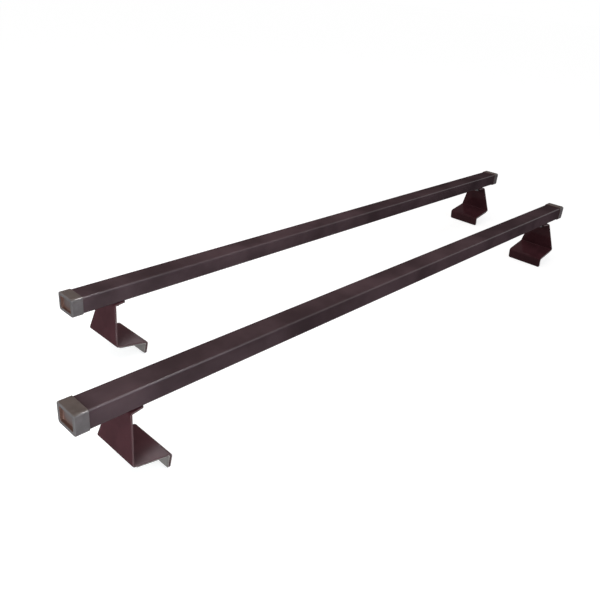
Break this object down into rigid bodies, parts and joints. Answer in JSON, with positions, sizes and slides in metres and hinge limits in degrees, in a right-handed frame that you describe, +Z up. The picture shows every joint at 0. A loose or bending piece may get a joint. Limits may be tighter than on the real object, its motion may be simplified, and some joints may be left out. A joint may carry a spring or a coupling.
{
  "type": "truck bed rack",
  "caption": "Pair of rectangular steel cross bars with plastic end caps and folded, rubber-lined brackets that hook over a pickup's bed rails.",
  "frame": {"origin": "on the ground, midway between the two bars and midway along the pair", "axes": "+X along the bars from left to right, +Y from the front bar to the rear bar, +Z up"},
  "size_m": [1.545, 0.356, 0.1351],
  "materials": {
    "bar_paint": "brown-black paint, semi-gloss",
    "bracket_paint": "red-brown black paint, semi-gloss",
    "cap_plastic": "moulded brown-gray, satin",
    "liner_rubber": "matte gray sheet rubber",
    "zinc_steel": "black zinc plated"
  },
  "bodies": {
    "root": {"front_tube": "bar_paint", "front_left_end_cap": "cap_plastic", "front_left_bracket": "bracket_paint", "front_left_foot_liner": "liner_rubber", "front_left_nut_plate": "zinc_steel", "front_left_bolts": "zinc_steel", "front_left_spring_washers": "zinc_steel", "front_left_flat_washers": "zinc_steel", "front_right_end_cap": "cap_plastic", "front_right_bracket": "bracket_paint", "front_right_foot_liner": "liner_rubber", "front_right_nut_plate": "zinc_steel", "front_right_bolts": "zinc_steel", "front_right_spring_washers": "zinc_steel", "front_right_flat_washers": "zinc_steel", "rear_tube": "bar_paint", "rear_left_end_cap": "cap_plastic", "rear_left_bracket": "bracket_paint", "rear_left_foot_liner": "liner_rubber", "rear_left_nut_plate": "zinc_steel", "rear_left_bolts": "zinc_steel", "rear_left_spring_washers": "zinc_steel", "rear_left_flat_washers": "zinc_steel", "rear_right_end_cap": "cap_plastic", "rear_right_bracket": "bracket_paint", "rear_right_foot_liner": "liner_rubber", "rear_right_nut_plate": "zinc_steel", "rear_right_bolts": "zinc_steel", "rear_right_spring_washers": "zinc_steel", "rear_right_flat_washers": "zinc_steel"}
  },
  "joints": []
}
